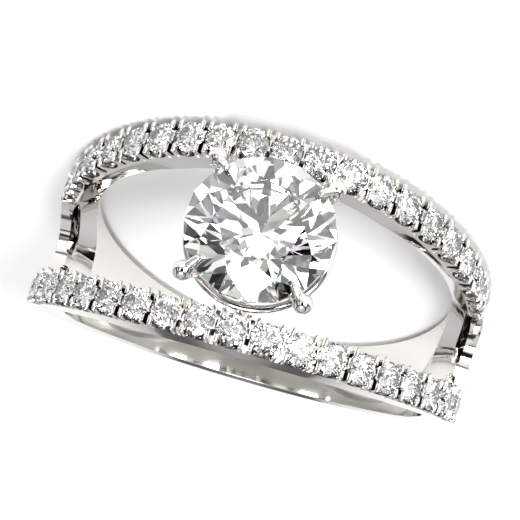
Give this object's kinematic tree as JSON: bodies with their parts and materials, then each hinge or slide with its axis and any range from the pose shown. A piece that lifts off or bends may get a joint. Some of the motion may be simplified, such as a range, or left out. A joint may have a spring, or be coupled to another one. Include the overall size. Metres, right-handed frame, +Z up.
{
  "type": "multi-row engagement ring",
  "caption": "Split-band engagement ring: a round brilliant in a raised head with four prongs, between two rails set with small round stones.",
  "frame": {"origin": "centre of the bounding box, on the floor it lies on", "axes": "+Z up from the floor, close to the finger hole's axis; -Y towards the centre stone, +Y towards the back of the band; X across the ring"},
  "size_m": [0.0204, 0.023, 0.0099],
  "materials": {
    "white_gold": "polished",
    "diamond": "polished facets"
  },
  "bodies": {
    "root": {"ring_setting": "white_gold", "centre_stone": "diamond", "upper_stone_01": "diamond", "upper_stone_02": "diamond", "upper_stone_03": "diamond", "upper_stone_04": "diamond", "upper_stone_05": "diamond", "upper_stone_06": "diamond", "upper_stone_07": "diamond", "upper_stone_08": "diamond", "upper_stone_09": "diamond", "upper_stone_10": "diamond", "upper_stone_11": "diamond", "upper_stone_12": "diamond", "upper_stone_13": "diamond", "upper_stone_14": "diamond", "upper_stone_15": "diamond", "upper_stone_16": "diamond", "upper_stone_17": "diamond", "upper_stone_18": "diamond", "upper_stone_19": "diamond", "lower_stone_01": "diamond", "lower_stone_02": "diamond", "lower_stone_03": "diamond", "lower_stone_04": "diamond", "lower_stone_05": "diamond", "lower_stone_06": "diamond", "lower_stone_07": "diamond", "lower_stone_08": "diamond", "lower_stone_09": "diamond", "lower_stone_10": "diamond", "lower_stone_11": "diamond", "lower_stone_12": "diamond", "lower_stone_13": "diamond", "lower_stone_14": "diamond", "lower_stone_15": "diamond", "lower_stone_16": "diamond", "lower_stone_17": "diamond", "lower_stone_18": "diamond", "lower_stone_19": "diamond"}
  },
  "joints": []
}
